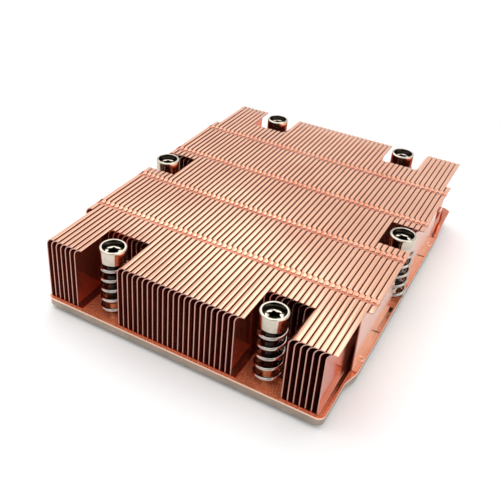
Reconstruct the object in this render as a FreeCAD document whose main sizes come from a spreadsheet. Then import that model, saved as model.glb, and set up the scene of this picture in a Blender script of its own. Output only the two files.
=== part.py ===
import FreeCAD, Part
import Sketcher

import math
import os

from FreeCAD import Vector

# Passive heatsink for a large server processor: a flat vapour chamber that carries a stack of
# folded copper fins, held to the socket frame by six captive screws with springs.
# X runs across the fins, Y along them, Z up. The origin is on the floor, under the middle.

doc = FreeCAD.newDocument("Heatsink")

# Driving dimensions, in millimetres unless the comment says otherwise
DIMENSIONS = [
    ("BaseLength", 118.0, "vapour chamber along the fins"),
    ("BaseWidth", 89.4, "vapour chamber across the fins, at its ends"),
    ("EarWidth", 92.4, "vapour chamber across its two middle ears"),
    ("EarLength", 77.4, "length of the full width of the ears"),
    ("EarRun", 5.0, "length in which an ear widens"),
    ("CornerRound", 2.0, "round of the four corners in plan"),
    ("EarRound", 6.0, "round of the ear shoulders in plan"),
    ("LidThickness", 0.6, "upper sheet of the chamber"),
    ("TrayHeight", 2.7, "lower shell of the chamber"),
    ("TrayInset", 0.15, "step from the lid's edge in to the tray"),
    ("TrayFloor", 1.0, "floor of the tray under the vapour space"),
    ("RimWidth", 3.0, "brazed rim round the vapour space"),
    ("EdgeRound", 0.8, "round of the tray's lower edge"),
    ("PadWidth", 58.0, "contact pad across the fins"),
    ("PadLength", 74.0, "contact pad along the fins"),
    ("PadHeight", 1.0, "contact pad below the tray"),
    ("PadRound", 3.0, "round of the pad's corners"),
    ("PostWidth", 3.0, "diameter of a support post"),
    ("PostStepAcross", 12.0, "spacing of the posts across the fins"),
    ("PostStepAlong", 12.0, "spacing of the posts along the fins"),
    ("Pitch", 1.66, "spacing of the fins"),
    ("FinShift", 0.3, "stack of fins off the middle, across the fins"),
    ("FinInset", 0.8, "end of the long fins in from the chamber's end"),
    ("FinHeight", 21.2, "from the lid to the top of the fins"),
    ("Sheet", 0.3, "thickness of a fin"),
    ("ShoulderHeight", 2.6, "height over which a fin leans to its top fold"),
    ("ShoulderRadius", 4.0, "radius of that lean, outside"),
    ("FootRadius", 0.4, "outer radius of the lower fold"),
    ("TopGap", 0.4, "slit between two upper flanges"),
    ("FootGap", 0.05, "slit between two lower flanges"),
    ("OuterFinLength", 77.4, "the two extra fins over the ears"),
    ("NotchClear", 7.85, "ends of the notched fins behind the axis of the corner screws"),
    ("SideNotch", 13.4, "length of the two screw notches at the sides"),
    ("LockNear", 11.4, "distance of the inner lock rows from the middle"),
    ("LockFar", 33.65, "distance of the outer lock rows from the middle"),
    ("LockSlotFront", 0.55, "front of a lock's slot before the middle of its row"),
    ("LockSlotLength", 1.9, "length of that slot, with its round end"),
    ("LockSlotRound", 0.62, "corner round of the slot's rear end"),
    ("LockSlotDepth", 0.9, "depth of the slot below the top of the fins"),
    ("LockSink", 0.45, "depth to which the tongue in the slot is pressed"),
    ("LockBand", 1.25, "length of the shallow dent in front of the slot"),
    ("LockBandSink", 0.12, "depth of that dent"),
    ("LockStrip", 0.12, "flange left beside the slot at its free edge"),
    ("LockReach", 0.12, "reach of a hook into the slot of the next fin"),
    ("LockPlay", 0.08, "air round a hook"),
    ("ScrewAcross", 50.2, "spacing of the corner screws across the fins"),
    ("ScrewInset", 6.4, "axes of the corner screws in from the chamber's ends"),
    ("MiddleAcross", 83.4, "spacing of the two middle screws"),
    ("ScrewShift", 1.0, "screw pattern off the middle, across the fins"),
    ("HeadWidth", 7.9, "diameter of a screw head"),
    ("HeadHeight", 4.3, "height of a screw head"),
    ("HeadRise", 1.2, "top of the heads above the fins"),
    ("HeadRound", 0.8, "round of the head's upper edge"),
    ("CupWidth", 6.1, "bore of the cup in the head"),
    ("CupDepth", 2.4, "depth of that cup"),
    ("BossWidth", 4.9, "raised round in the cup, which holds the socket"),
    ("BossHeight", 0.5, "height of that round"),
    ("SocketReach", 3.9, "across the six lobes of the socket"),
    ("SocketDepth", 1.6, "depth of the socket"),
    ("ShankWidth", 4.6, "shoulder of the screw inside the spring"),
    ("NeckWidth", 3.5, "thread and neck"),
    ("TipChamfer", 0.5, "chamfer at the screw's tip"),
    ("TipLift", 0.25, "screw tips above the floor"),
    ("Travel", 4.5, "how far a screw can be pressed down"),
    ("TravelRest", 0.3, "shoulder above the lid at the end of that travel"),
    ("ScrewHole", 4.1, "hole in lid and tray"),
    ("ClipSeat", 6.6, "diameter of the counterbore for a clip"),
    ("ClipSeatDepth", 1.9, "depth of that counterbore"),
    ("ClipWidth", 6.0, "outer diameter of a retaining clip"),
    ("ClipThickness", 0.6, "thickness of a retaining clip"),
    ("ClipPlay", 0.05, "play of the clip in its groove and under its seat"),
    ("ClipMouth", 2.4, "open side of the clip"),
    ("GrooveWidth", 2.7, "diameter of the groove for the clip"),
    ("SpringWidth", 8.55, "outer diameter of a spring"),
    ("WireWidth", 1.1, "wire of a spring"),
    ("SpringTurns", 5.5, "turns of a spring"),
    ("SpringPlay", 0.05, "air between a spring and the head on it"),
    ("TubeWidth", 1.8, "diameter of the fill tube"),
    ("TubeSetback", 19.4, "from the chamber's rear end to that of the right ear, where the fill tube leaves"),
    ("TubeHeight", 1.6, "fill tube above the tray's lower face, where it leaves"),
    ("TubeRelief", 0.5, "depth of the edge's relief beside the tube"),
    ("TubeReliefLength", 7.0, "length of that relief"),
    ("TubeGap", 0.1, "air between the tube and what it passes"),
    ("CrimpLength", 9.5, "length over which the tube flattens"),
    ("CrimpTilt", 20.0, "degrees by which the crimp leans outwards"),
    ("CrimpWidth", 3.0, "width of the tube's flattened end"),
    ("CrimpThickness", 0.8, "thickness of that end"),
]

# Counts that shape the stack of fins
MAIN_FINS = 53
NOTCH_FINS = 8
EDGE_FINS = 7
SIDE_NOTCH_FINS = 5
WIRE_SIDES = 6
# Six-lobe socket: where a lobe meets a valley, and their rounds, as shares of the socket's reach
LOBE_HALF_ANGLE = 14.0
LOBE_ROOT = 0.84
LOBE_ROUND = 0.21
VALLEY_ROUND = 0.38
STEPS_PER_TURN = 14

sheet = doc.addObject("Spreadsheet::Sheet", "Sizes")
for row, (alias, number, meaning) in enumerate(DIMENSIONS, start=1):
    sheet.set("A%d" % row, alias)
    sheet.set("B%d" % row, str(number))
    sheet.set("C%d" % row, meaning)
    sheet.setAlias("B%d" % row, alias)
doc.recompute()


class Size:
    """A length that knows its number now and the expression that follows the sheet."""

    def __init__(self, number, text):
        self.number = float(number)
        self.text = text

    def _join(self, other, sign, number):
        return Size(number, "(%s %s %s)" % (self.text, sign, size(other).text))

    def __add__(self, other):
        return self._join(other, "+", self.number + size(other).number)

    def __sub__(self, other):
        return self._join(other, "-", self.number - size(other).number)

    def __mul__(self, other):
        return self._join(other, "*", self.number * size(other).number)

    def __truediv__(self, other):
        return self._join(other, "/", self.number / size(other).number)

    def __neg__(self):
        return size(0) - self


def size(value):
    """Returns a Size, from a Size, a plain number or the name of a cell in the sheet."""
    if isinstance(value, Size):
        return value
    if isinstance(value, str):
        return Size(sheet.get(value), "Sizes.%s" % value)
    return Size(value, "%.9g" % value)


def root(value):
    """The square root of a Size."""
    return Size(math.sqrt(value.number), "sqrt(%s)" % value.text)


def bind(thing, **sizes):
    """Binds properties of an object to sizes."""
    for name, value in sizes.items():
        thing.setExpression(name, size(value).text)
    return thing


def place(thing, x=0.0, y=0.0, z=0.0):
    """Binds the position of an object to sizes."""
    for axis, value in zip("xyz", (x, y, z)):
        thing.setExpression("Placement.Base.%s" % axis, size(value).text)
    return thing


def label(thing, name):
    """Gives an object the name of its node and adds it to the pieces."""
    thing.Label = name
    PIECES.append(thing)
    return thing


PIECES = []


# Sketch helpers

def origin_plane(body, role):
    """One of the three origin planes of a body."""
    return next(part for part in body.Origin.OriginFeatures if part.Role == role)


def new_sketch(body, name, role, lift=None):
    """A sketch on an origin plane of its body, lifted by a size."""
    sketch = body.newObject("Sketcher::SketchObject", name)
    sketch.AttachmentSupport = [(origin_plane(body, role), "")]
    sketch.MapMode = "FlatFace"
    if lift is not None:
        sketch.setExpression("AttachmentOffset.Base.z", size(lift).text)
    return sketch


def fix_point(sketch, line, end, x, y):
    """Ties one end of a sketch line to sizes, from the sketch's origin."""
    for kind, value in (("DistanceX", x), ("DistanceY", y)):
        place_in_list = sketch.addConstraint(Sketcher.Constraint(kind, -1, 1, line, end, value.number))
        sketch.setExpression("Constraints[%d]" % place_in_list, value.text)


def draw_outline(sketch, corners):
    """Draws a closed outline. A corner is x, y and, where an arc leads on from it, its radius:
    above zero the arc turns left, below zero it turns right."""
    points = [(size(corner[0]), size(corner[1])) for corner in corners]
    count = len(points)
    drawn = sketch.GeometryCount
    for index, corner in enumerate(corners):
        start, end = points[index], points[(index + 1) % count]
        first = Vector(start[0].number, start[1].number, 0)
        last = Vector(end[0].number, end[1].number, 0)
        if len(corner) == 2:
            sketch.addGeometry(Part.LineSegment(first, last), False)
            continue
        radius = size(corner[2])
        bend = abs(radius.number)
        chord = last - first
        height = math.sqrt(bend * bend - chord.Length * chord.Length / 4)
        side = Vector(-chord.y, chord.x, 0).normalize() * (height if radius.number > 0 else -height)
        middle = (first + last) / 2 + side
        begin, finish = (first, last) if radius.number > 0 else (last, first)
        circle = Part.Circle(middle, Vector(0, 0, 1), bend)
        sketch.addGeometry(
            Part.ArcOfCircle(
                circle,
                math.atan2(begin.y - middle.y, begin.x - middle.x),
                math.atan2(finish.y - middle.y, finish.x - middle.x),
            ),
            False,
        )
    for index, corner in enumerate(corners):
        following = (index + 1) % count
        turns_right = len(corner) == 3 and size(corner[2]).number < 0
        ahead_right = len(corners[following]) == 3 and size(corners[following][2]).number < 0
        sketch.addConstraint(
            Sketcher.Constraint(
                "Coincident", drawn + index, 1 if turns_right else 2,
                drawn + following, 2 if ahead_right else 1,
            )
        )
    for index, corner in enumerate(corners):
        turns_right = len(corner) == 3 and size(corner[2]).number < 0
        fix_point(sketch, drawn + index, 2 if turns_right else 1, *points[index])
        if len(corner) == 3:
            radius = size(corner[2])
            bound = Size(abs(radius.number), "abs(%s)" % radius.text)
            number = sketch.addConstraint(Sketcher.Constraint("Radius", drawn + index, bound.number))
            sketch.setExpression("Constraints[%d]" % number, bound.text)


def draw_circle(sketch, x, y, diameter):
    """Draws a circle whose centre and diameter follow sizes."""
    x, y, diameter = size(x), size(y), size(diameter)
    shape = Part.Circle(Vector(x.number, y.number, 0), Vector(0, 0, 1), diameter.number / 2)
    number = sketch.addGeometry(shape, False)
    fix_point(sketch, number, 3, x, y)
    place_in_list = sketch.addConstraint(Sketcher.Constraint("Diameter", number, diameter.number))
    sketch.setExpression("Constraints[%d]" % place_in_list, diameter.text)


def pad(body, name, sketch, height, reverse=False):
    """Pads a sketch by a size."""
    feature = body.newObject("PartDesign::Pad", name)
    feature.Profile = sketch
    feature.Reversed = reverse
    bind(feature, Length=height)
    return feature


def pocket(body, name, sketch, depth, reverse=False):
    """Cuts a sketch into its body by a size."""
    feature = body.newObject("PartDesign::Pocket", name)
    feature.Profile = sketch
    feature.Reversed = reverse
    bind(feature, Length=depth)
    return feature


def edges_along_z(shape, wanted):
    """Names of the edges parallel to Z whose position passes a test."""
    found = []
    for number, edge in enumerate(shape.Edges, start=1):
        start, end = edge.Vertexes[0].Point, edge.Vertexes[-1].Point
        upright = math.hypot(start.x - end.x, start.y - end.y) < 1e-6 < abs(start.z - end.z)
        if upright and wanted(start):
            found.append("Edge%d" % number)
    return found


def fillet(body, name, base, edges, radius):
    """Rounds edges of a body by a size."""
    feature = body.newObject("PartDesign::Fillet", name)
    feature.Base = (base, edges)
    bind(feature, Radius=radius)
    return feature


# Levels and places that several pieces share

tray_bottom = size("PadHeight")
lid_bottom = tray_bottom + "TrayHeight"
lid_top = lid_bottom + "LidThickness"
fin_top = lid_top + "FinHeight"
head_top = fin_top + "HeadRise"
head_bottom = head_top - "HeadHeight"
clip_seat = tray_bottom + "ClipSeatDepth"
clip_top = clip_seat - "ClipPlay"
clip_bottom = clip_top - "ClipThickness"
pack_left = size("FinShift") - size("Pitch") * (MAIN_FINS / 2)
screw_end = size("BaseLength") / 2 - "ScrewInset"

SCREWS = {
    "front_left": (size("ScrewShift") - size("ScrewAcross") / 2, -screw_end),
    "front_right": (size("ScrewShift") + size("ScrewAcross") / 2, -screw_end),
    "middle_left": (size("ScrewShift") - size("MiddleAcross") / 2, size(0)),
    "middle_right": (size("ScrewShift") + size("MiddleAcross") / 2, size(0)),
    "rear_left": (size("ScrewShift") - size("ScrewAcross") / 2, screw_end),
    "rear_right": (size("ScrewShift") + size("ScrewAcross") / 2, screw_end),
}


# Vapour chamber

def plate_corners(inset):
    """Outline of the chamber: a rectangle with a wide ear along each side.

    The right ear ends squarely at the rear, where the fill tube leaves it, and the edge behind is
    relieved for the tube."""
    half_length = size("BaseLength") / 2 - inset
    half_width = size("BaseWidth") / 2 - inset
    half_ear = size("EarWidth") / 2 - inset
    ear_end = size("EarLength") / 2
    ear_root = ear_end + "EarRun"
    relief = half_width - "TubeRelief"
    tube_root = size("BaseLength") / 2 - "TubeSetback"
    relief_end = tube_root + "TubeReliefLength"
    return [
        (half_width, -half_length), (half_width, -ear_root), (half_ear, -ear_end),
        (half_ear, tube_root - inset), (relief, tube_root - inset),
        (relief, relief_end), (half_width, relief_end + "TubeRelief"), (half_width, half_length),
        (-half_width, half_length), (-half_width, ear_root), (-half_ear, ear_end),
        (-half_ear, -ear_end), (-half_width, -ear_root), (-half_width, -half_length),
    ]


def plate(name, inset, lift, height):
    """A body with the chamber's outline and rounded corners."""
    body = doc.addObject("PartDesign::Body", name)
    outline = new_sketch(body, name + "Outline", "XY_Plane", lift)
    draw_outline(outline, plate_corners(inset))
    solid = pad(body, name + "Pad", outline, height)
    doc.recompute()
    end_line = size("BaseLength").number / 2 - 1
    corners = fillet(
        body, name + "Corners", solid,
        edges_along_z(solid.Shape, lambda point: abs(point.y) > end_line), "CornerRound",
    )
    doc.recompute()
    ear_end = size("EarLength").number / 2 + size("EarRun").number / 2
    shoulders = edges_along_z(
        corners.Shape,
        lambda point: abs(abs(point.y) - ear_end) < size("EarRun").number and (point.x < 0 or point.y < 0),
    )
    return body, fillet(body, name + "Ears", corners, shoulders, "EarRound")


lid, lid_solid = plate("Lid", size(0), lid_bottom, "LidThickness")
holes = new_sketch(lid, "LidHoles", "XY_Plane", lid_bottom)
for x, y in SCREWS.values():
    draw_circle(holes, x, y, "ScrewHole")
pocket(lid, "LidDrilling", holes, "LidThickness", reverse=True)
label(lid, "chamber_lid")

tray, tray_solid = plate("Tray", size("TrayInset"), tray_bottom, "TrayHeight")
doc.recompute()
lower_edges = [
    "Edge%d" % number
    for number, edge in enumerate(tray_solid.Shape.Edges, start=1)
    if all(abs(vertex.Z - tray_bottom.number) < 1e-6 for vertex in edge.Vertexes)
]
rounded = fillet(tray, "TrayEdge", tray_solid, lower_edges, "EdgeRound")
pad_sketch = new_sketch(tray, "PadOutline", "XY_Plane")
half_x, half_y = size("PadWidth") / 2, size("PadLength") / 2
bend = size("PadRound")
draw_outline(pad_sketch, [
    (bend - half_x, -half_y), (half_x - bend, -half_y, bend),
    (half_x, bend - half_y), (half_x, half_y - bend, bend),
    (half_x - bend, half_y), (bend - half_x, half_y, bend),
    (-half_x, half_y - bend), (-half_x, bend - half_y, bend),
])
pad(tray, "ContactPad", pad_sketch, "PadHeight")

# The vapour space stays clear of the rim and of a solid collar round each screw hole
space = new_sketch(tray, "SpaceOutline", "XY_Plane", tray_bottom + "TrayFloor")
inner_x = size("BaseWidth") / 2 - "RimWidth"
inner_y = size("BaseLength") / 2 - "RimWidth"
collar = size("ClipSeat") / 2 + "RimWidth"
side_x = size("MiddleAcross") / 2 - "ScrewShift" - collar
neck_y = screw_end - collar
draw_outline(space, [
    (-inner_x, -neck_y), (inner_x, -neck_y),
    (inner_x, -collar), (side_x, -collar), (side_x, collar), (inner_x, collar),
    (inner_x, neck_y), (-inner_x, neck_y),
    (-inner_x, collar), (-side_x, collar), (-side_x, -collar), (-inner_x, -collar),
])
pocket(tray, "VapourSpace", space, size("TrayHeight") - "TrayFloor", reverse=True)
tray_holes = new_sketch(tray, "TrayHoles", "XY_Plane", tray_bottom)
for x, y in SCREWS.values():
    draw_circle(tray_holes, x, y, "ScrewHole")
pocket(tray, "TrayDrilling", tray_holes, "TrayHeight", reverse=True)
seats = new_sketch(tray, "ClipSeats", "XY_Plane", tray_bottom)
for x, y in SCREWS.values():
    draw_circle(seats, x, y, "ClipSeat")
pocket(tray, "ClipBores", seats, "ClipSeatDepth", reverse=True)
label(tray, "chamber_tray")

# Support posts stand between the tray's floor and the lid
posts = doc.addObject("PartDesign::Body", "Posts")
if hasattr(posts, "AllowCompound"):
    posts.AllowCompound = True
post_sketch = new_sketch(posts, "PostCircles", "XY_Plane", tray_bottom + "TrayFloor")
for across in range(-2, 3):
    for along in range(-3, 4):
        draw_circle(post_sketch, size("PostStepAcross") * across, size("PostStepAlong") * along, "PostWidth")
pad(posts, "PostPad", post_sketch, size("TrayHeight") - "TrayFloor")
label(posts, "support_posts")


# Fins

def fold_reach():
    """How far a fin has leant across at the top of its shoulder."""
    lean, rise = size("ShoulderRadius"), size("ShoulderHeight")
    return lean - root(lean * lean - rise * rise)


def fin_profile(sketch, left):
    """The folded sheet seen from its end: foot flange, upright web, leaning shoulder, top flange."""
    sheet_metal, height = size("Sheet"), size("FinHeight")
    foot, lean = size("FootRadius"), size("ShoulderRadius")
    inner_foot = foot - sheet_metal
    inner_lean = lean - sheet_metal
    shoulder = height - "ShoulderHeight"
    rise = size("ShoulderHeight")
    inner_rise = rise - sheet_metal
    top_out = fold_reach()
    top_in = lean - root(inner_lean * inner_lean - inner_rise * inner_rise)
    foot_end = size("Pitch") - "FootGap"
    top_end = top_out + "Pitch" - "TopGap"
    corners = [
        (foot, 0), (foot_end, 0), (foot_end, sheet_metal), (foot, sheet_metal, -inner_foot),
        (sheet_metal, foot), (sheet_metal, shoulder, -inner_lean),
        (top_in, height - sheet_metal), (top_end, height - sheet_metal), (top_end, height),
        (top_out, height, lean), (0, shoulder), (0, foot, foot),
    ]
    draw_outline(sketch, [(left + corner[0],) + tuple(corner[1:]) for corner in corners])


def lock_rows(start, end):
    """The rows of locks that lie between the two ends of a fin."""
    rows = [-size("LockFar"), -size("LockNear"), size("LockNear"), size("LockFar")]
    return [row for row in rows if size(start).number < row.number < size(end).number]


def lock_slots(body, name, left, rows):
    """Slots through the top fold: each takes the hook of the fin before it."""
    sketch = new_sketch(body, "LockSlots_" + name, "XY_Plane", "FinHeight")
    corner = size("LockSlotRound")
    begin = left + "Sheet"
    step = left + fold_reach() + "LockReach" + "LockPlay"
    finish = left + fold_reach() + "Pitch" - "TopGap" - "LockStrip"
    for row in rows:
        front = row - "LockSlotFront"
        rear = front + "LockSlotLength"
        draw_outline(sketch, [
            (begin, front - "LockBand"), (step, front - "LockBand"), (step, front), (finish, front),
            (finish, rear - corner, corner), (finish - corner, rear), (begin, rear),
        ])
    return pocket(body, "LockSlotCut_" + name, sketch, "LockSlotDepth")


def lock_tongues(body, name, left, rows):
    """Tongues pressed down inside the slots, as ramps that sink towards the front."""
    sketch = new_sketch(body, "LockTongues_" + name, "YZ_Plane", left + fold_reach() + "LockReach" + "LockPlay")
    top = size("FinHeight")
    for row in rows:
        front = row - "LockSlotFront"
        rear = front + "LockSlotLength" + "LockStrip"
        low = top - "LockSink"
        draw_outline(sketch, [
            (front, low), (front, low - "Sheet"), (rear, top - "Sheet"), (rear, top),
        ])
    width = size("Pitch") - "TopGap" - "LockReach" - "LockPlay"
    return pad(body, "LockTonguePad_" + name, sketch, width)


def lock_hooks(body, name, left, rows):
    """Hooks at the free edge of the top flange, which close the slit and catch in the next slot."""
    sketch = new_sketch(body, "LockHooks_" + name, "XY_Plane", size("FinHeight") - "Sheet")
    edge = left + fold_reach() + "Pitch" - "TopGap"
    nose = edge + "TopGap" + "LockReach"
    for row in rows:
        front = row - "LockSlotFront" - "LockBand" + "LockPlay"
        rear = row - "LockSlotFront" + "LockSlotLength" - "LockPlay"
        draw_outline(sketch, [
            (edge, front), (nose, front), (nose, rear - "LockSlotRound"), (edge, rear),
        ])
    return pad(body, "LockHookPad_" + name, sketch, "Sheet")


def lock_dents(body, name, left, rows):
    """Shallow dents in front of the slots, across the whole top flange."""
    sketch = new_sketch(body, "LockDents_" + name, "YZ_Plane", left)
    top = size("FinHeight")
    for row in rows:
        rear = row - "LockSlotFront"
        draw_outline(sketch, [(rear - "LockBand", top), (rear, top - "LockBandSink"), (rear, top)])
    return pocket(body, "LockDentCut_" + name, sketch, size("Pitch") * 2, reverse=True)


def fin_kind(name, start, end, hooked=True):
    """One fin with its locks, at the first place of the stack; start and end are its ends along Y."""
    body = doc.addObject("PartDesign::Body", "Fin_" + name)
    sketch = new_sketch(body, "FinProfile_" + name, "XZ_Plane", -size(end))
    fin_profile(sketch, pack_left)
    pad(body, "FinPad_" + name, sketch, size(end) - start)
    rows = lock_rows(start, end)
    lock_slots(body, name, pack_left, rows)
    lock_tongues(body, name, pack_left, rows)
    if hooked:
        lock_hooks(body, name, pack_left, rows)
    lock_dents(body, name, pack_left, rows)
    place(body, z=lid_top)
    return body


def fin_bank(name, kind, first, count=1):
    """Fins of one kind side by side on the lid, each hooked into the one before it."""
    fins = []
    for number in range(first, first + count):
        fin = doc.addObject("App::Link", "%s_%d" % (name, number + 2))
        fin.LinkedObject = kind
        fins.append(place(fin, size("Pitch") * number, z=lid_top))
    bank = doc.addObject("Part::Compound", "Bank_" + name)
    bank.Links = fins
    return label(bank, name)


fin_end = size("BaseLength") / 2 - "FinInset"
outer_end = size("OuterFinLength") / 2
notch_end = screw_end - "NotchClear"
side_end = size("SideNotch") / 2

long_fin = fin_kind("Long", -fin_end, fin_end)
notch_fin = fin_kind("Notch", -notch_end, notch_end)
front_fin = fin_kind("Front", -fin_end, -side_end)
rear_fin = fin_kind("Rear", side_end, fin_end)
ear_fins = {
    "left": (fin_kind("EarLeftFront", -outer_end, -side_end), fin_kind("EarLeftRear", side_end, outer_end)),
    "right": (
        fin_kind("EarRightFront", -outer_end, -side_end, hooked=False),
        fin_kind("EarRightRear", side_end, outer_end, hooked=False),
    ),
}

centre_first = EDGE_FINS + NOTCH_FINS
centre_count = MAIN_FINS - 2 * centre_first
fin_bank("fins_notch_left", notch_fin, EDGE_FINS, NOTCH_FINS)
fin_bank("fins_centre", long_fin, centre_first, centre_count)
fin_bank("fins_notch_right", notch_fin, centre_first + centre_count, NOTCH_FINS)
for step in range(EDGE_FINS + 1):
    for side, number in (("left", step - 1), ("right", MAIN_FINS - step)):
        name = "fin_%s_%d" % (side, step + 1)
        if step > SIDE_NOTCH_FINS:
            fin_bank(name, long_fin, number)
            continue
        front, rear = (front_fin, rear_fin) if step else ear_fins[side]
        fin_bank(name + "_front", front, number)
        fin_bank(name + "_rear", rear, number)


# Screws

def screw(corner, x, y):
    """A captive screw: cup head with a six-lobe socket, shoulder, neck, groove and tip."""
    body = doc.addObject("PartDesign::Body", "Screw_" + corner)
    outline = new_sketch(body, "ScrewProfile_" + corner, "XZ_Plane")
    head, cup, boss = size("HeadWidth") / 2, size("CupWidth") / 2, size("BossWidth") / 2
    shank, neck, groove = size("ShankWidth") / 2, size("NeckWidth") / 2, size("GrooveWidth") / 2
    rim_round = size("HeadRound")
    cup_floor = head_top - "CupDepth"
    shank_end = lid_top + "Travel" + "TravelRest"
    tip, tip_cone = size("TipLift"), size("TipChamfer")
    groove_top, groove_end = clip_top + "ClipPlay", clip_bottom - "ClipPlay"
    draw_outline(outline, [
        (0, tip), (neck - tip_cone, tip), (neck, tip + tip_cone), (neck, groove_end),
        (groove, groove_end), (groove, groove_top), (neck, groove_top), (neck, shank_end),
        (shank, shank_end), (shank, head_bottom), (head, head_bottom),
        (head, head_top - rim_round, rim_round), (head - rim_round, head_top), (cup, head_top),
        (cup, cup_floor), (boss, cup_floor), (boss, cup_floor + "BossHeight"), (0, cup_floor + "BossHeight"),
    ])
    turned = body.newObject("PartDesign::Revolution", "ScrewTurned_" + corner)
    turned.Profile = outline
    turned.ReferenceAxis = (outline, ["V_Axis"])
    turned.Angle = 360
    lobes = new_sketch(body, "Socket_" + corner, "XY_Plane", cup_floor + "BossHeight")
    reach = size("SocketReach") / 2
    corners = []
    for number in range(6):
        for turn, bend in ((-LOBE_HALF_ANGLE, LOBE_ROUND), (LOBE_HALF_ANGLE, -VALLEY_ROUND)):
            angle = math.radians(60 * number + turn)
            meet = reach * LOBE_ROOT
            corners.append((meet * math.cos(angle), meet * math.sin(angle), reach * bend))
    draw_outline(lobes, corners)
    pocket(body, "SocketCut_" + corner, lobes, "SocketDepth")
    place(body, x, y)
    return label(body, "screw_" + corner)


def clip(corner, x, y):
    """A retaining clip in the groove of a screw: a flat ring with an open side."""
    body = doc.addObject("PartDesign::Body", "Clip_" + corner)
    outline = new_sketch(body, "ClipProfile_" + corner, "XY_Plane", clip_bottom)
    outer, inner = size("ClipWidth") / 2, size("GrooveWidth") / 2 + "ClipPlay"
    mouth = size("ClipMouth") / 2
    reach_out = root(outer * outer - mouth * mouth)
    reach_in = root(inner * inner - mouth * mouth)
    draw_outline(outline, [
        (-outer, 0, outer), (reach_out, -mouth), (reach_in, -mouth, -inner),
        (-inner, 0, -inner), (reach_in, mouth), (reach_out, mouth, outer),
    ])
    pad(body, "ClipPad_" + corner, outline, "ClipThickness")
    place(body, x, y)
    return label(body, "clip_" + corner)


def spring(corner, x, y):
    """A compression spring between the lid and the head, with its end turns drawn together."""
    wire = size("WireWidth").number
    radius = (size("SpringWidth").number - wire) / 2
    turns = size("SpringTurns").number
    length = head_bottom.number - lid_top.number - wire - size("SpringPlay").number
    steps = int(round(turns * STEPS_PER_TURN))
    end_rise = wire * 1.05
    open_pitch = (length - end_rise) / (turns - 1)

    def height(turn):
        if turn > turns / 2:
            return length - height(turns - turn)
        if turn < 1:
            return turn * end_rise + turn * turn * (open_pitch - end_rise) / 2
        return (end_rise + open_pitch) / 2 + (turn - 1) * open_pitch

    path = []
    for step in range(steps + 1):
        turn = step * turns / steps
        angle = 2 * math.pi * turn
        path.append(Vector(radius * math.cos(angle), radius * math.sin(angle), height(turn)))
    along = (path[1] - path[0]).normalize()
    out = Vector(1, 0, 0)
    out = (out - along * out.dot(along)).normalize()
    up = along.cross(out)
    ring = []
    for side in range(WIRE_SIDES + 1):
        angle = 2 * math.pi * (side + 0.5) / WIRE_SIDES
        ring.append(path[0] + (out * math.cos(angle) + up * math.sin(angle)) * (wire / 2))
    sweep = Part.BRepOffsetAPI.MakePipeShell(Part.makePolygon(path))
    sweep.setTransitionMode(1)
    sweep.add(Part.makePolygon(ring))
    sweep.build()
    sweep.makeSolid()
    feature = doc.addObject("Part::Feature", "Spring_" + corner)
    feature.Shape = sweep.shape()
    feature.Placement.Base = Vector(x.number, y.number, lid_top.number + wire / 2)
    return label(feature, "spring_" + corner)


for corner, (x, y) in SCREWS.items():
    screw(corner, x, y)
    clip(corner, x, y)
    spring(corner, x, y)


# Fill tube: leaves the rear of the right ear, climbs over the chamber's edge beside the last long
# fin and ends in a flattened, pinched-off crimp

def rounded_wire(points):
    """A wire of straight runs joined by tangent arcs, each as large as its two runs allow."""
    edges = []
    start = points[0]
    for before, corner, after in zip(points, points[1:], points[2:]):
        back, ahead = before - corner, after - corner
        half_turn = (math.pi - back.getAngle(ahead)) / 2
        reach = 0.45 * min(back.Length, ahead.Length)
        arc_radius = reach / math.tan(half_turn)
        back.normalize()
        ahead.normalize()
        middle = corner + (back + ahead).normalize() * (arc_radius / math.cos(half_turn) - arc_radius)
        enter, leave = corner + back * reach, corner + ahead * reach
        edges.append(Part.LineSegment(start, enter).toShape())
        edges.append(Part.Arc(enter, middle, leave).toShape())
        start = leave
    edges.append(Part.LineSegment(start, points[-1]).toShape())
    return Part.Wire(edges)


def fill_tube():
    """The pinched-off tube through which the chamber was filled."""
    radius = size("TubeWidth").number / 2
    gap = size("TubeGap").number
    edge = size("BaseWidth").number / 2
    crimp_end = size("BaseLength").number / 2
    tube_root = crimp_end - size("TubeSetback").number
    root = Vector(edge - size("TubeRelief").number + gap + radius,
                  tube_root - size("TrayInset").number,
                  tray_bottom.number + size("TubeHeight").number)
    climb_end = tube_root + size("TubeReliefLength").number
    upper = lid_top.number + size("Sheet").number + gap + radius
    crimp_start = crimp_end - size("CrimpLength").number
    path = rounded_wire([
        root,
        Vector(root.x, (root.y * 2 + climb_end) / 3, root.z),
        Vector(root.x, climb_end, upper),
        Vector(root.x, crimp_start, upper),
    ])
    section = Part.Wire([Part.makeCircle(radius, root, Vector(0, 1, 0))])
    round_part = path.makePipeShell([section], True, False)
    meet = Part.Wire([Part.makeCircle(radius, Vector(root.x, crimp_start, upper), Vector(0, 1, 0))])
    flat = Part.Ellipse(Vector(), size("CrimpWidth").number / 2, size("CrimpThickness").number / 2)
    reach = size("CrimpWidth").number / 2 * math.cos(math.radians(size("CrimpTilt").number))
    web_face = (pack_left + size("Pitch") * (MAIN_FINS - 1) + "Sheet").number
    crimp = Part.Wire([flat.toShape()])
    crimp.rotate(Vector(), Vector(1, 0, 0), 90)
    crimp.rotate(Vector(), Vector(0, 1, 0), size("CrimpTilt").number)
    crimp.translate(Vector(web_face + gap + reach, crimp_end, upper))
    tail = Part.makeLoft([meet, crimp], True, True)
    feature = doc.addObject("Part::Feature", "FillTube")
    feature.Shape = round_part.fuse(tail)
    return label(feature, "fill_tube")


fill_tube()


# Checks and export

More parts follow.
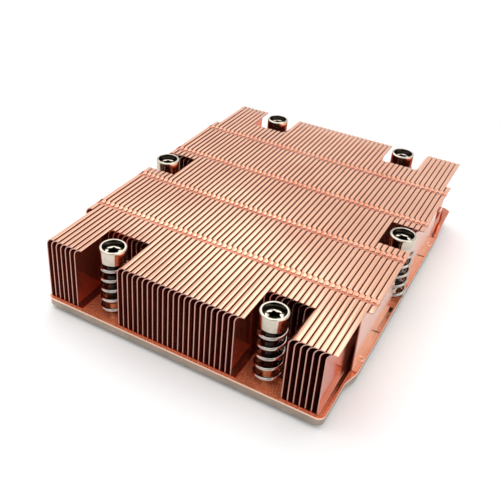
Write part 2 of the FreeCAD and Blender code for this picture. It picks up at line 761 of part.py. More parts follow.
doc.recompute()
faults = []
for thing in doc.Objects:
    if "Invalid" in thing.State or "Error" in thing.State:
        faults.append("%s: %s" % (thing.Name, thing.State))
for piece in PIECES:
    if piece.Shape.isNull() or not piece.Shape.isValid() or not piece.Shape.Solids:
        faults.append("%s has no valid solid" % piece.Label)
if faults:
    raise RuntimeError("; ".join(faults))
os.makedirs("parts", exist_ok=True)
facets = 0
for piece in PIECES:
    piece.Shape.exportStep(os.path.join("parts", piece.Label + ".step"))
    facets += len(piece.Shape.tessellate(0.02)[1])
print("%d pieces, %d solids, %d facets" % (
    len(PIECES), sum(len(piece.Shape.Solids) for piece in PIECES), facets))
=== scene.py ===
"""Studio scene of a passive copper heatsink for a server processor.

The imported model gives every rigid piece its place. This script dresses them: folded copper fins
with clean shading, lathe-turned screws with six-lobe sockets, coiled springs, the vapour chamber
and its fill tube, each with a procedural finish, on a white floor under soft light.
"""

from __future__ import annotations

import logging
import math
from dataclasses import dataclass, field
from enum import Enum, IntEnum
from typing import Callable, Sequence

import bmesh
import bpy
from mathutils import Matrix, Vector

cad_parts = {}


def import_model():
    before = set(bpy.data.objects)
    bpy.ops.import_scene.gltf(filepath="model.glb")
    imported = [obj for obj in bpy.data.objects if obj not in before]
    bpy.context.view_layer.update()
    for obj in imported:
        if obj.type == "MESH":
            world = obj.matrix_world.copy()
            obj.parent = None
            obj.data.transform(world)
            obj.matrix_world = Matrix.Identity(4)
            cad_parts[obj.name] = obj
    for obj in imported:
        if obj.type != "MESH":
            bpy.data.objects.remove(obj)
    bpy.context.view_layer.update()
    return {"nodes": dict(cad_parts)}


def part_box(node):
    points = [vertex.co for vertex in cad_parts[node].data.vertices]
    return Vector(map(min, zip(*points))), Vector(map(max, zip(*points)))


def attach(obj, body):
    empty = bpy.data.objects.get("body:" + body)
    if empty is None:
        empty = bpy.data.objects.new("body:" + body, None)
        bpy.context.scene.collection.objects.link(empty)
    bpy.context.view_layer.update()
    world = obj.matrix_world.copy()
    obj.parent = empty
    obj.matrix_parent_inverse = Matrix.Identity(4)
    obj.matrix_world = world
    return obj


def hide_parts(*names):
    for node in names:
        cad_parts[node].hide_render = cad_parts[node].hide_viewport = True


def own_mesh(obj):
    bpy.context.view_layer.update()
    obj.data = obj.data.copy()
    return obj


log = logging.getLogger("heatsink")

MILLIMETRE = 0.001
IMAGE_WIDTH = 500
WELD_DISTANCE = 0.002 * MILLIMETRE
LEVEL_DEGREES = 0.5
SMOOTH_DEGREES = 35.0

Socket = bpy.types.NodeSocket
Tree = bpy.types.NodeTree


class Corner(Enum):
    """The six places of a captive screw."""

    FRONT_LEFT = "front_left"
    FRONT_RIGHT = "front_right"
    MIDDLE_LEFT = "middle_left"
    MIDDLE_RIGHT = "middle_right"
    REAR_LEFT = "rear_left"
    REAR_RIGHT = "rear_right"


class Grain(Enum):
    """How the fine marks of a finish run: the scale of their texture along X, Y and Z."""

    ALONG_FINS = (1.0, 0.03, 1.0)
    ROUND = (1.0, 1.0, 1.0)
    TURNED = (0.05, 0.05, 1.0)


class SheetZone(IntEnum):
    """The finish of a fin's face, by its place in the list of finishes."""

    FLANGE = 0
    # Painted shade: the darker webs between the fins.
    WEB = 1
    # Painted shade: the darker lock faces.
    LOCK = 2
    CHEEK = 3
    SHEARED = 4
    # Painted shade on the flanges' free ends and the lock rows' sheet edges.
    PAINTED_SHADE_EDGE = 5


class SkinZone(IntEnum):
    """The finish of a chamber's face."""

    LEVEL = 0
    # Painted highlight: the lid's paler upright faces and broken edge.
    RIM = 1


class ScrewZone(IntEnum):
    """The finish of a screw's face."""

    BRIGHT = 0
    # Painted shade: the cup's darker nickel.
    RECESS = 1
    # Painted shade: the near-black socket and shank.
    PAINTED_SHADE = 2


class Wiring:
    """Small helper that adds and joins shader nodes."""

    def __init__(self, tree: Tree) -> None:
        """Keeps the tree to work on.

        Args:
            tree: The shader node tree.
        """
        self.tree = tree

    def add(self, kind: str, **values: object) -> bpy.types.Node:
        """Adds a node.

        Args:
            kind: Blender's identifier of the node type.
            values: Properties of the node to set.

        Returns:
            The new node.
        """
        node = self.tree.nodes.new(kind)
        for name, value in values.items():
            setattr(node, name, value)
        return node

    def join(self, source: Socket, target: Socket) -> None:
        """Links one socket to another.

        Args:
            source: Where the value comes from.
            target: Where it goes.
        """
        self.tree.links.new(source, target)

    def noise(self, vector: Socket, scale: float, detail: float, rough: float = 0.55) -> Socket:
        """Adds a noise texture.

        Args:
            vector: Where the texture is read.
            scale: Cells per metre of the input vector.
            detail: Octaves.
            rough: Weight of the finer octaves.

        Returns:
            The factor socket.
        """
        node = self.add("ShaderNodeTexNoise")
        node.inputs["Scale"].default_value = scale
        node.inputs["Detail"].default_value = detail
        node.inputs["Roughness"].default_value = rough
        self.join(vector, node.inputs["Vector"])
        return node.outputs["Fac"]

    def span(
        self, value: Socket, low: float, high: float, start: float = 0.0, end: float = 1.0
    ) -> Socket:
        """Maps a value from one range to another.

        Args:
            value: The value.
            low: Result at the start of the range.
            high: Result at its end.
            start: Start of the range of the value.
            end: End of that range.

        Returns:
            The mapped value.
        """
        node = self.add("ShaderNodeMapRange")
        node.inputs["From Min"].default_value = start
        node.inputs["From Max"].default_value = end
        node.inputs["To Min"].default_value = low
        node.inputs["To Max"].default_value = high
        self.join(value, node.inputs["Value"])
        return node.outputs["Result"]

    def blend(self, factor: Socket, low: Sequence[float], high: Sequence[float]) -> Socket:
        """Blends two colours.

        Args:
            factor: Zero gives the first colour, one the second.
            low: First colour, linear red, green and blue.
            high: Second colour.

        Returns:
            The blended colour.
        """
        node = self.add("ShaderNodeMix", data_type="RGBA")
        self.join(factor, node.inputs["Factor"])
        node.inputs["A"].default_value = (*low, 1.0)
        node.inputs["B"].default_value = (*high, 1.0)
        return node.outputs["Result"]


def linear(red: int, green: int, blue: int) -> tuple[float, float, float]:
    """Turns a display colour into a linear one.

    Args:
        red: Red from 0 to 255.
        green: Green.
        blue: Blue.

    Returns:
        Linear red, green and blue.
    """

    def channel(value: int) -> float:
        """One channel in linear light.

        Args:
            value: The channel from 0 to 255.

        Returns:
            The channel from 0 to 1.
        """
        share = value / 255.0
        return share / 12.92 if share <= 0.04045 else ((share + 0.055) / 1.055) ** 2.4

    return channel(red), channel(green), channel(blue)


@dataclass(frozen=True)
class MetalFinish:
    """A bare metal with fine marks and a cloudy tint, whose colours run from 0 to 255."""

    name: str
    tint: tuple[int, int, int]
    shade: tuple[int, int, int]
    roughness: tuple[float, float]
    grain: Grain
    grain_scale: float = 2600.0
    grain_weight: float = 0.65
    grain_range: tuple[float, float] = (0.25, 0.75)
    cloud_scale: float = 55.0
    cloud_range: tuple[float, float] = (0.3, 0.7)
    octaves: float = 4.0
    bump: float = 0.05
    bump_depth: float = 0.00002
    metallic: float = 1.0

    def material(self) -> bpy.types.Material:
        """Builds the material.

        Returns:
            A node material that reads object coordinates.
        """
        material = bpy.data.materials.new(self.name)
        material.use_nodes = True
        wiring = Wiring(material.node_tree)
        shader = material.node_tree.nodes["Principled BSDF"]
        shader.inputs["Metallic"].default_value = self.metallic
        place = wiring.add("ShaderNodeTexCoord").outputs["Object"]
        mapping = wiring.add("ShaderNodeMapping")
        mapping.inputs["Scale"].default_value = self.grain.value
        wiring.join(place, mapping.inputs["Vector"])
        cloud = wiring.noise(place, self.cloud_scale, self.octaves)
        marks = wiring.noise(
            mapping.outputs["Vector"], self.grain_scale, self.octaves, self.grain_weight
        )
        share = wiring.span(cloud, 0.0, 1.0, *self.cloud_range)
        colour = wiring.blend(share, linear(*self.shade), linear(*self.tint))
        rough = wiring.span(marks, *self.roughness, *self.grain_range)
        wiring.join(colour, shader.inputs["Base Color"])
        wiring.join(rough, shader.inputs["Roughness"])
        bump = wiring.add("ShaderNodeBump")
        bump.inputs["Strength"].default_value = self.bump
        bump.inputs["Distance"].default_value = self.bump_depth
        wiring.join(marks, bump.inputs["Height"])
        wiring.join(bump.outputs["Normal"], shader.inputs["Normal"])
        return material


class Finishes:
    """All finishes of the heatsink, each built once."""

    def __init__(self) -> None:
        """Builds the materials."""
        self.fin = MetalFinish(
            "rolled fin copper", (242, 190, 162), (233, 174, 147), (0.12, 0.22), Grain.ALONG_FINS,
        ).material()
        # Painted shade: the webs between the fins are a darker, redder copper for the shade in the
        # gaps; the two outer cheeks keep pale copper.
        self.web = MetalFinish(
            "web copper with painted shade", (216, 108, 80), (200, 92, 68), (0.1, 0.18), Grain.ALONG_FINS,
            metallic=0.88,
        ).material()
        # Painted shade: the lock faces below the flange are a darker, redder copper for the shade
        # in the pressed pits.
        self.pressed = MetalFinish(
            "lock copper with painted shade", (230, 156, 130), (206, 122, 96), (0.2, 0.32), Grain.ROUND,
            grain_scale=4000.0,
        ).material()
        self.sheared = MetalFinish(
            "sheared sheet edge", (212, 164, 150), (190, 142, 130), (0.2, 0.32), Grain.ROUND,
            grain_scale=5000.0,
        ).material()
        # Painted shade: the flanges' free-end faces and the lock rows' sheet edges are dark brown
        # for the shade line beside them.
        self.shadowed = MetalFinish(
            "dull flange edge", (104, 50, 36), (80, 36, 26), (0.3, 0.45), Grain.ROUND,
            grain_scale=5000.0,
        ).material()
        self.cheek = MetalFinish(
            "pale outer web copper", (246, 200, 180), (240, 186, 164), (0.12, 0.22),
            Grain.ALONG_FINS, metallic=0.9,
        ).material()
        self.lid = MetalFinish(
            "chamber lid copper", (250, 152, 108), (230, 124, 84), (0.18, 0.36), Grain.ROUND,
            grain_scale=3400.0, cloud_scale=1100.0, bump=0.35, metallic=0.5,
        ).material()
        # Painted highlight: the lid's upright faces and broken edge are a paler cream copper; the
        # ring marks take it too.
        self.rim = MetalFinish(
            "lid edge with painted highlight", (252, 214, 190), (244, 200, 176), (0.18, 0.3), Grain.ROUND,
            grain_scale=3000.0,
        ).material()
        # Painted reflection: the tray is a grey-brown copper for the dark surroundings that its
        # sides reflect.
        self.tray = MetalFinish(
            "tray copper with painted dark reflection", (180, 166, 152), (156, 143, 130), (0.28, 0.42), Grain.ROUND,
            grain_scale=3000.0, cloud_scale=160.0, bump=0.1,
        ).material()
        self.tube = MetalFinish(
            "annealed tube copper", (216, 132, 102), (184, 100, 74), (0.24, 0.4), Grain.ROUND,
            grain_scale=1800.0, cloud_scale=300.0, bump=0.2,
        ).material()
        self.screw = MetalFinish(
            "bright screw nickel", (208, 198, 184), (184, 174, 160), (0.08, 0.18), Grain.TURNED,
            grain_scale=5000.0, cloud_scale=400.0, bump=0.04,
        ).material()
        # Painted shade: the screw cup's wall and floor are a dark nickel.
        self.recess = MetalFinish(
            "screw recess with painted shade", (112, 107, 99), (80, 76, 70), (0.14, 0.26), Grain.ROUND,
            grain_scale=4000.0, cloud_scale=400.0,
        ).material()
        # Painted shade: the socket, the shank inside the spring and the slit marks are near black.
        self.oiled = MetalFinish(
            "oiled socket and shank", (48, 40, 36), (30, 25, 23), (0.12, 0.24), Grain.TURNED,
            grain_scale=4000.0, cloud_scale=400.0,
        ).material()
        self.spring = MetalFinish(
            "drawn spring wire", (198, 190, 182), (150, 143, 136), (0.05, 0.12), Grain.ROUND,
            grain_scale=6000.0, cloud_scale=500.0, bump=0.06,
        ).material()
        self.clip = MetalFinish(
            "blued clip steel", (120, 118, 116), (96, 94, 92), (0.25, 0.4), Grain.ROUND,
        ).material()


def keep(mesh: bpy.types.Mesh, name: str, *finishes: bpy.types.Material) -> bpy.types.Object:
    """Puts a mesh in the scene as a finished piece.

    Args:
        mesh: The mesh, in the frame of the whole part.
        name: Name of the piece.
        finishes: Its materials, in the order of the faces' indices.

    Returns:
        The new object.
    """
    mesh.name = name
    numbers = [polygon.material_index for polygon in mesh.polygons]
    mesh.materials.clear()
    for finish in finishes:
        mesh.materials.append(finish)
    mesh.polygons.foreach_set("material_index", numbers)
    piece = bpy.data.objects.new(name, mesh)
    bpy.context.scene.collection.objects.link(piece)
    return piece


def recoat(piece: bpy.types.Object, finish: bpy.types.Material) -> None:
    """Gives a CAD node that is shown as it is one finish.

    Args:
        piece: The node's object.
        finish: The material.
    """
    piece.data.materials.clear()
    piece.data.materials.append(finish)


def clean_copy(
    node: str, rework: Callable[[bmesh.types.BMesh], None], merge_faces: bool = True
) -> bpy.types.Mesh:
    """Copies a CAD node's mesh, joins its loose triangles and shades it by angle.

    Args:
        node: Name of the CAD node.
        rework: What is done to the joined mesh before it is shaded.
        merge_faces: Whether level triangles are made one face.

    Returns:
        The new mesh.
    """
    sheet = bmesh.new()
    sheet.from_mesh(bpy.data.objects[node].data)
    bmesh.ops.remove_doubles(sheet, verts=sheet.verts, dist=WELD_DISTANCE)
    if merge_faces:
        bmesh.ops.dissolve_limit(
            sheet, angle_limit=math.radians(LEVEL_DEGREES), verts=sheet.verts, edges=sheet.edges,
            use_dissolve_boundaries=False,
        )
    rework(sheet)
    limit = math.radians(SMOOTH_DEGREES)
    for face in sheet.faces:
        face.smooth = True
    for edge in sheet.edges:
        edge.smooth = len(edge.link_faces) == 2 and edge.calc_face_angle(math.pi) < limit
    mesh = bpy.data.meshes.new(node + "_dressed")
    sheet.to_mesh(mesh)
    sheet.free()
    return mesh


@dataclass(frozen=True)
class FoldForm:
    """The round of a fin's fold and the reach of its flange.

    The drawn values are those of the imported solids, the pressed ones those of the real sheet. The
    height is that of the round below the flange, and a gap is the one between two flanges. Points
    nearer to the round than sheet_reach belong to it, up to a share of that past the crest.
    """

    height: float = 2.6 * MILLIMETRE
    drawn_round: float = 4.0 * MILLIMETRE
    pressed_round: float = 2.75 * MILLIMETRE
    pitch: float = 1.66 * MILLIMETRE
    drawn_gap: float = 0.4 * MILLIMETRE
    pressed_gap: float = 0.68 * MILLIMETRE
    sheet_reach: float = 0.45 * MILLIMETRE
    crest_share: float = 0.25

    def reach(self, radius: float, rise: float) -> float:
        """How far a round has leant out at a height.

        Args:
            radius: Radius of the round.
            rise: Height above its foot.

        Returns:
            The distance from the web's left face.
        """
        share = min(max(rise / radius, 0.0), 1.0)
        return radius * (1.0 - math.sqrt(1.0 - share * share))

    def along(self, distance: float) -> float:
        """Moves a point of the flange to its place in the wider gap between two flanges.

        Args:
            distance: Distance from the crest of the drawn fold.

        Returns:
            Distance from the crest of the pressed fold.
        """
        drawn, pressed = self.pitch - self.drawn_gap, self.pitch - self.pressed_gap
        if distance <= drawn:
            return distance * pressed / drawn
        if distance <= self.pitch:
            return pressed + (distance - drawn) * self.pressed_gap / self.drawn_gap
        return self.pitch + (distance - self.pitch) * pressed / drawn

    def press(self, island: Sequence[bmesh.types.BMVert]) -> None:
        """Gives one fin its pressed form.

        Args:
            island: The vertices of the fin.
        """
        left = min(vertex.co.x for vertex in island)
        foot = max(vertex.co.z for vertex in island) - self.height
        drawn_crest = self.reach(self.drawn_round, self.height)
        pressed_crest = self.reach(self.pressed_round, self.height)
        for vertex in island:
            rise = vertex.co.z - foot
            if rise <= 0.0:
                continue
            across = vertex.co.x - left
            lean = self.reach(self.drawn_round, rise)
            before_crest = across < drawn_crest + self.sheet_reach * self.crest_share
            if before_crest and across < lean + self.sheet_reach:
                vertex.co.x += self.reach(self.pressed_round, rise) - lean
            else:
                vertex.co.x = left + pressed_crest + self.along(across - drawn_crest)


def islands(sheet: bmesh.types.BMesh) -> list[list[bmesh.types.BMVert]]:
    """Splits a mesh into its connected parts.

    Args:
        sheet: The mesh.

    Returns:
        The vertices of each part.
    """
    seen: set[bmesh.types.BMVert] = set()
    parts = []
    for start in sheet.verts:
        if start in seen:
            continue
        seen.add(start)
        part, waiting = [], [start]
        while waiting:
            vertex = waiting.pop()
            part.append(vertex)
            for edge in vertex.link_edges:
                other = edge.other_vert(vertex)
                if other not in seen:
                    seen.add(other)
                    waiting.append(other)
        parts.append(part)
    return parts


@dataclass
class FinStack:
    """The folded copper fins, dressed on their CAD solids."""

    flange_finish: bpy.types.Material
    web_shade_finish: bpy.types.Material
    lock_shade_finish: bpy.types.Material
    cheek_finish: bpy.types.Material
    sheared_finish: bpy.types.Material
    shadowed_finish: bpy.types.Material
    fold: FoldForm = FoldForm()
    lock_depth: float = 1.0 * MILLIMETRE
    lock_skin: float = 0.02 * MILLIMETRE
    edge_depth: float = 0.35 * MILLIMETRE
    outer_row: float = 33.65 * MILLIMETRE
    inner_row: float = 11.4 * MILLIMETRE
    lock_half: float = 2.3 * MILLIMETRE
    web_facing: float = 0.85
    end_reach: float = 3.3 * MILLIMETRE

    def build(self, nodes: Sequence[str]) -> None:
        """Dresses every fin node.

        Args:
            nodes: Names of all CAD nodes.
        """
        fins = sorted(name for name in nodes if name.startswith("fin"))
        left = min(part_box(name)[0].x for name in fins)
        right = max(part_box(name)[1].x for name in fins)
        for node in fins:
            mesh = clean_copy(node, lambda sheet: self._form(sheet, left, right))
            piece = keep(mesh, node + "_sheet", self.flange_finish, self.web_shade_finish,
                         self.lock_shade_finish, self.cheek_finish, self.sheared_finish,
                         self.shadowed_finish)
            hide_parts(node)
            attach(piece, "chamber")
            log.info("fin piece %s", piece.name)

    def _form(self, sheet: bmesh.types.BMesh, left: float, right: float) -> None:
        """Presses the folds and marks webs and locks.

        Args:
            sheet: The joined mesh of a fin node.
            left: The left end of the whole stack.
            right: The right end of the whole stack.
        """
        for island in islands(sheet):
            self.fold.press(island)
        sheet.normal_update()
        top = max(vertex.co.z for vertex in sheet.verts)
        for face in sheet.faces:
            face.material_index = self._zone(face, top, left, right)

    def _zone(
        self, face: bmesh.types.BMFace, top: float, left: float, right: float
    ) -> SheetZone:
        """Finds which finish a face has.

        Args:
            face: The face.
            top: Height of the flanges' upper side.
            left: The left end of the whole stack.
            right: The right end of the whole stack.

        Returns:
            Its zone; the cheeks are the webs at the stack's two ends.
        """
        centre = face.calc_center_median()
        depth = top - centre.z
        # The flanges' free-end faces get painted shade.
        if face.normal.x > self.web_facing and depth < self.edge_depth:
            return SheetZone.PAINTED_SHADE_EDGE
        in_row = any(
            abs(abs(centre.y) - row) < self.lock_half for row in (self.inner_row, self.outer_row)
        )
        # Front and back sheet edges; in the lock rows they get painted shade.
        if abs(face.normal.y) > self.web_facing:
            shaded = in_row and depth < self.lock_depth
            return SheetZone.PAINTED_SHADE_EDGE if shaded else SheetZone.SHEARED
        # Lock faces below the flange get painted shade.
        if in_row and self.lock_skin < depth < self.lock_depth:
            return SheetZone.LOCK
        # Webs between the fins get painted shade; the two end cheeks keep pale copper.
        if abs(face.normal.x) > self.web_facing:
            outward = right - centre.x if face.normal.x > 0 else centre.x - left
            return SheetZone.CHEEK if outward < self.end_reach else SheetZone.WEB
        return SheetZone.FLANGE


@dataclass
class Chamber:
    """The vapour chamber: lid, tray and fill tube."""

    lid_finish: bpy.types.Material
    tray_finish: bpy.types.Material
    tube_finish: bpy.types.Material
    rim_highlight_finish: bpy.types.Material
    edge_bevel: float = 0.08 * MILLIMETRE
    bevel_steps: int = 2
    bevel_degrees: float = 40.0
    upright_below: float = 0.5

    def build(self) -> None:
        """Dresses the chamber's pieces."""
        self._dress("chamber_lid", self.lid_finish, self.edge_bevel)
        self._dress("chamber_tray", self.tray_finish, 0.0)
        self._dress("fill_tube", self.tube_finish, 0.0)

    def _dress(self, node: str, finish: bpy.types.Material, bevel: float) -> None:
        """Dresses one node.

        Args:
            node: Name of the CAD node.
            finish: Its material.
            bevel: Width of the broken edge, or zero.
        """
        mesh = clean_copy(node, self._mark_rim, merge_faces=bool(bevel))
        piece = keep(mesh, node + "_skin", finish, self.rim_highlight_finish if bevel else finish)
        if bevel:
            modifier = piece.modifiers.new("broken edge", "BEVEL")
            modifier.width = bevel
            modifier.segments = self.bevel_steps
            modifier.limit_method = "ANGLE"
            modifier.angle_limit = math.radians(self.bevel_degrees)
            modifier.harden_normals = True
            # The bevel's faces take the lid edge's painted highlight.
            modifier.material = SkinZone.RIM
        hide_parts(node)
        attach(piece, "chamber")
        log.info("chamber piece %s", piece.name)

    def _mark_rim(self, sheet: bmesh.types.BMesh) -> None:
        """Gives the upright faces the second material, a painted highlight on the lid.

        Args:
            sheet: The joined mesh of the node.
        """
        for face in sheet.faces:
            upright = abs(face.normal.z) < self.upright_below
            face.material_index = SkinZone.RIM if upright else SkinZone.LEVEL


@dataclass(frozen=True)
class Ring:
    """One ring of a turned body: its outline by angle, its height, and the finish below it."""

    outline: Callable[[float], float]
    height: float
    crisp: bool
    zone: int


@dataclass
class RingStack:
    """A closed turned body, built as rings of points from its axis to its axis."""

    steps: int = 96
    rings: list[Ring] = field(default_factory=list)
    zone: int = 0

    def ring(
        self, radius: float | Callable[[float], float], height: float, crisp: bool = False
    ) -> None:
        """Adds a ring.

        Args:
            radius: Radius in metres, or a function of the angle that gives it.
            height: Height in metres.
            crisp: Whether the ring is a hard edge.
        """
        outline = radius if callable(radius) else (lambda _angle, fixed=radius: fixed)
        self.rings.append(Ring(outline, height, crisp, self.zone))

    def arc(
        self, centre: tuple[float, float], radius: float, start: float, end: float, count: int
    ) -> None:
        """Adds rings along an arc of the profile.

        Args:
            centre: Radius and height of the arc's centre.
            radius: Radius of the arc.
            start: Angle of its first point, in degrees from outwards.
            end: Angle of its last point.
            count: Number of steps.
        """
        for step in range(count + 1):
            angle = math.radians(start + (end - start) * step / count)
            self.ring(centre[0] + radius * math.cos(angle), centre[1] + radius * math.sin(angle))

    def mesh(self, name: str, axis: Vector) -> bpy.types.Mesh:
        """Builds the mesh.

        Args:
            name: Name of the mesh.
            axis: A point on the body's axis, whose height is not used.

        Returns:
            The mesh, closed and facing outwards.
        """
        body = bmesh.new()
        loops = []
        for ring in self.rings:
            loop = []
            for step in range(self.steps):
                angle = 2 * math.pi * step / self.steps
                reach = ring.outline(angle)
                loop.append(body.verts.new((axis.x + reach * math.cos(angle),
                                            axis.y + reach * math.sin(angle), ring.height)))
            loops.append(loop)
        for lower, upper, ring in zip(loops, loops[1:], self.rings[1:]):
            for step in range(self.steps):
                ahead = (step + 1) % self.steps
                face = body.faces.new((lower[step], lower[ahead], upper[ahead], upper[step]))
                face.smooth = True
                face.material_index = ring.zone
        body.faces.new(list(reversed(loops[0])))
        body.faces.new(loops[-1]).material_index = self.rings[-1].zone
        for loop, ring in zip(loops, self.rings):
            if ring.crisp:
                for step in range(self.steps):
                    edge = body.edges.get((loop[step], loop[(step + 1) % self.steps]))
                    edge.smooth = False
        bmesh.ops.recalc_face_normals(body, faces=body.faces)
        mesh = bpy.data.meshes.new(name)
        body.to_mesh(mesh)
        body.free()
        return mesh


@dataclass
class CaptiveScrew:
    """A cup-headed captive screw with a raised six-lobe socket."""

    corner: Corner
    finish: bpy.types.Material
    recess_shade_finish: bpy.types.Material
    painted_shade_finish: bpy.types.Material
    head: float = 3.95 * MILLIMETRE
    head_height: float = 4.3 * MILLIMETRE
    head_round: float = 0.45 * MILLIMETRE
    cup: float = 3.2 * MILLIMETRE
    cup_depth: float = 2.4 * MILLIMETRE
    boss: float = 2.45 * MILLIMETRE
    boss_height: float = 1.0 * MILLIMETRE
    socket: float = 1.7 * MILLIMETRE
    socket_depth: float = 1.6 * MILLIMETRE
    socket_flare: float = 1.05
    socket_draft: float = 0.98
    lobe_mean: float = 0.86
    lobe_wave: float = 0.12
    lobe_round: float = 0.02
    drill_radius: float = 0.3 * MILLIMETRE
    drill_depth: float = 0.25 * MILLIMETRE
    tip_dimple: float = 0.02 * MILLIMETRE
    shank: float = 2.3 * MILLIMETRE
    shank_end: float = 9.1 * MILLIMETRE
    neck: float = 1.75 * MILLIMETRE
    groove: float = 1.35 * MILLIMETRE
    groove_low: float = 2.2 * MILLIMETRE
    groove_high: float = 2.9 * MILLIMETRE
    chamfer: float = 0.5 * MILLIMETRE
    break_edge: float = 0.12 * MILLIMETRE
    edge_steps: int = 3
    round_steps: int = 8

    def build(self) -> None:
        """Builds the screw in its place, riding on its own body."""
        node = "screw_" + self.corner.value
        low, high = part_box(node)
        axis = (low + high) / 2
        turned = RingStack()
        self._lower(turned, low.z)
        self._head(turned, high.z)
        piece = keep(turned.mesh(node + "_turned", axis), node + "_turned", self.finish,
                     self.recess_shade_finish, self.painted_shade_finish)
        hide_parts(node)
        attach(piece, "driver_" + self.corner.value)
        log.info("screw %s", piece.name)

    def _lower(self, turned: RingStack, tip: float) -> None:
        """Adds the tip, groove, neck and shoulder.

        Args:
            turned: The body to add to.
            tip: Height of the screw's tip.
        """
        turned.ring(self.tip_dimple, tip)
        turned.ring(self.neck - self.chamfer, tip, crisp=True)
        turned.ring(self.neck, tip + self.chamfer, crisp=True)
        turned.ring(self.neck, self.groove_low, crisp=True)
        turned.ring(self.groove, self.groove_low, crisp=True)
        turned.ring(self.groove, self.groove_high, crisp=True)
        turned.ring(self.neck, self.groove_high, crisp=True)
        turned.ring(self.neck, self.shank_end, crisp=True)
        # Painted shade: the shank inside the spring is near black.
        turned.zone = ScrewZone.PAINTED_SHADE
        turned.ring(self.shank - self.break_edge, self.shank_end)
        turned.ring(self.shank, self.shank_end + self.break_edge)

    def _head(self, turned: RingStack, top: float) -> None:
        """Adds the head, its cup, the raised round and the six-lobe socket.

        Args:
            turned: The body to add to.
            top: Height of the head's upper side.
        """
        edge, steps = self.break_edge, self.edge_steps
        under, floor = top - self.head_height, top - self.cup_depth
        turned.ring(self.shank, under, crisp=True)
        turned.zone = ScrewZone.BRIGHT
        turned.arc((self.head - edge, under + edge), edge, -90, 0, steps)
        turned.arc((self.head - self.head_round, top - self.head_round), self.head_round, 0, 90,
                   self.round_steps)
        turned.arc((self.cup + edge, top - edge), edge, 90, 180, steps)
        # Painted shade: the cup's wall and floor.
        turned.zone = ScrewZone.RECESS
        turned.arc((self.cup - edge, floor + edge), edge, 0, -90, steps)
        turned.ring(self.boss, floor, crisp=True)
        boss_top = floor + self.boss_height
        turned.zone = ScrewZone.BRIGHT
        turned.arc((self.boss - edge, boss_top - edge), edge, 0, 90, steps)
        turned.ring(self._lobes(self.socket_flare), boss_top)
        turned.ring(self._lobes(1.0), boss_top - edge / 2)
        # Painted shade: the socket's walls and drilled floor are near black.
        turned.zone = ScrewZone.PAINTED_SHADE
        bottom = boss_top - self.socket_depth
        turned.ring(self._lobes(self.socket_draft), bottom, crisp=True)
        turned.ring(self.drill_radius, bottom - self.drill_depth)

    def _lobes(self, share: float) -> Callable[[float], float]:
        """The six-lobe outline.

        Args:
            share: Scale of the outline.

        Returns:
            A function that gives the radius at an angle.
        """

        def outline(angle: float) -> float:
            """The radius at an angle.

            Args:
                angle: Angle about the axis, in radians.

            Returns:
                The radius in metres.
            """
            wave, ripple = math.cos(6 * angle), math.cos(12 * angle)
            shape = self.lobe_mean + self.lobe_wave * wave + self.lobe_round * ripple
            return self.socket * share * shape

        return outline


@dataclass
class CoilSpring:
    """A compression spring made by a Geometry Nodes tree, whose end turns lie closed."""

    corner: Corner
    finish: bpy.types.Material
    turns: float = 5.5
    wire: float = 0.55 * MILLIMETRE
    travel: float = 4.5 * MILLIMETRE
    steps_per_turn: int = 40
    wire_steps: int = 14

    def build(self, tree: Tree) -> None:
        """Builds the spring in its place.

        Args:
            tree: The node tree that coils the wire.
        """
        node = "spring_" + self.corner.value
        low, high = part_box(node)
        mesh = grown(node, tree, {
            "Turns": self.turns,
            "Wire": self.wire,
            "Radius": (high.y - low.y) / 2 - self.wire,
            "Height": high.z - low.z - 2 * self.wire,
            "Foot X": (low.x + high.x) / 2,
            "Foot Y": (low.y + high.y) / 2,
            "Foot Z": low.z + self.wire,
            "Steps": int(self.turns * self.steps_per_turn),
            "Wire Steps": self.wire_steps,
            "Finish": self.finish,
        })
        for polygon in mesh.polygons:
            polygon.use_smooth = True
        piece = keep(mesh, node + "_coil", self.finish)
        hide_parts(node)
        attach(piece, "chamber")
        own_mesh(piece)
        log.info("spring %s", piece.name)


def grown(name: str, tree: Tree, values: dict[str, object]) -> bpy.types.Mesh:
    """Turns what a Geometry Nodes tree makes into a plain mesh.

    Args:
        name: Name of the piece that the mesh is for.
        tree: The node tree.
        values: Name of each of its inputs and the value.

    Returns:
        The mesh.
    """
    blank = bpy.data.objects.new(name + "_blank", bpy.data.meshes.new(name + "_blank"))
    bpy.context.scene.collection.objects.link(blank)
    modifier = blank.modifiers.new("growth", "NODES")
    modifier.node_group = tree
    for item in tree.interface.items_tree:
        if item.item_type == "SOCKET" and item.in_out == "INPUT":
            modifier[item.identifier] = values[item.name]
    graph = bpy.context.evaluated_depsgraph_get()
    mesh = bpy.data.meshes.new_from_object(blank.evaluated_get(graph))
    bpy.data.objects.remove(blank)
    return mesh


